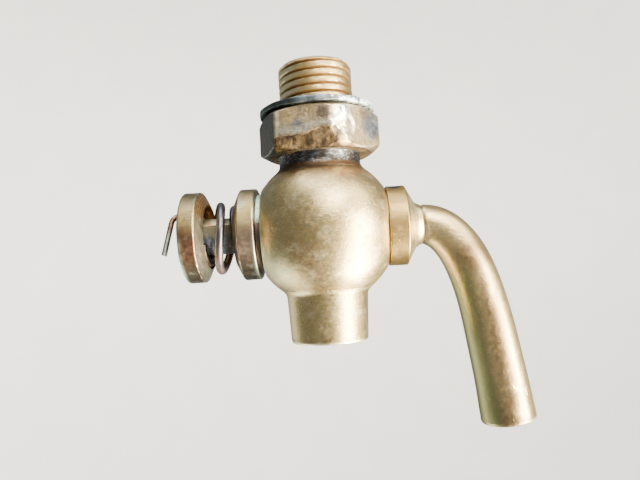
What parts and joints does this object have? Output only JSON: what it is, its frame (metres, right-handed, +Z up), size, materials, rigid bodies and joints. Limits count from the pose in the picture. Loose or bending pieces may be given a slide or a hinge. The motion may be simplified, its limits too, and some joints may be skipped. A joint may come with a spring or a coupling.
{
  "type": "lever drain cock",
  "caption": "Small lever-turned taper plug drain cock with a threaded hexagon inlet, a globe body, a spring-loaded plug held by a split pin and a plain outlet spout",
  "frame": {"origin": "On the threaded spigot's axis, at the upper face of the sealing ring, which is the face that seats on the radiator's drain boss", "axes": "+Z runs up the threaded spigot towards the radiator, -Z runs down the outlet spout, +X runs along the taper plug towards the lever, and the lever hangs down in the XZ plane with the cock shut"},
  "size_m": [0.0626, 0.026, 0.0645],
  "materials": {
    "cast_brass": "satin, aged",
    "soft_grey_metal": "dull",
    "turned_brass": "turned, tarnished",
    "lever_brass": "satin, worn bright",
    "spring_steel": "plain wire, a little rust",
    "pin_steel": "rusty wire"
  },
  "bodies": {
    "valve_body": {"body_casting": "cast_brass", "sealing_ring": "soft_grey_metal"},
    "spring_seat": {"inner_spring_cup": "turned_brass", "spring": "spring_steel"},
    "plug": {"taper_plug": "turned_brass", "lever": "lever_brass", "outer_spring_cup": "turned_brass", "split_pin": "pin_steel"}
  },
  "joints": [
    {"name": "plug_turn", "type": "hinge", "parent": "valve_body", "child": "spring_seat", "pos_m": [0, 0, -0.02142], "axis": [1, 0, 0], "continuous": true},
    {"name": "plug_lift", "type": "slide", "parent": "spring_seat", "child": "plug", "axis": [1, 0, 0], "range_m": [0, 0.002], "stiffness_N_per_m": 4000, "springref_m": -0.002, "deforming": ["spring"]}
  ]
}
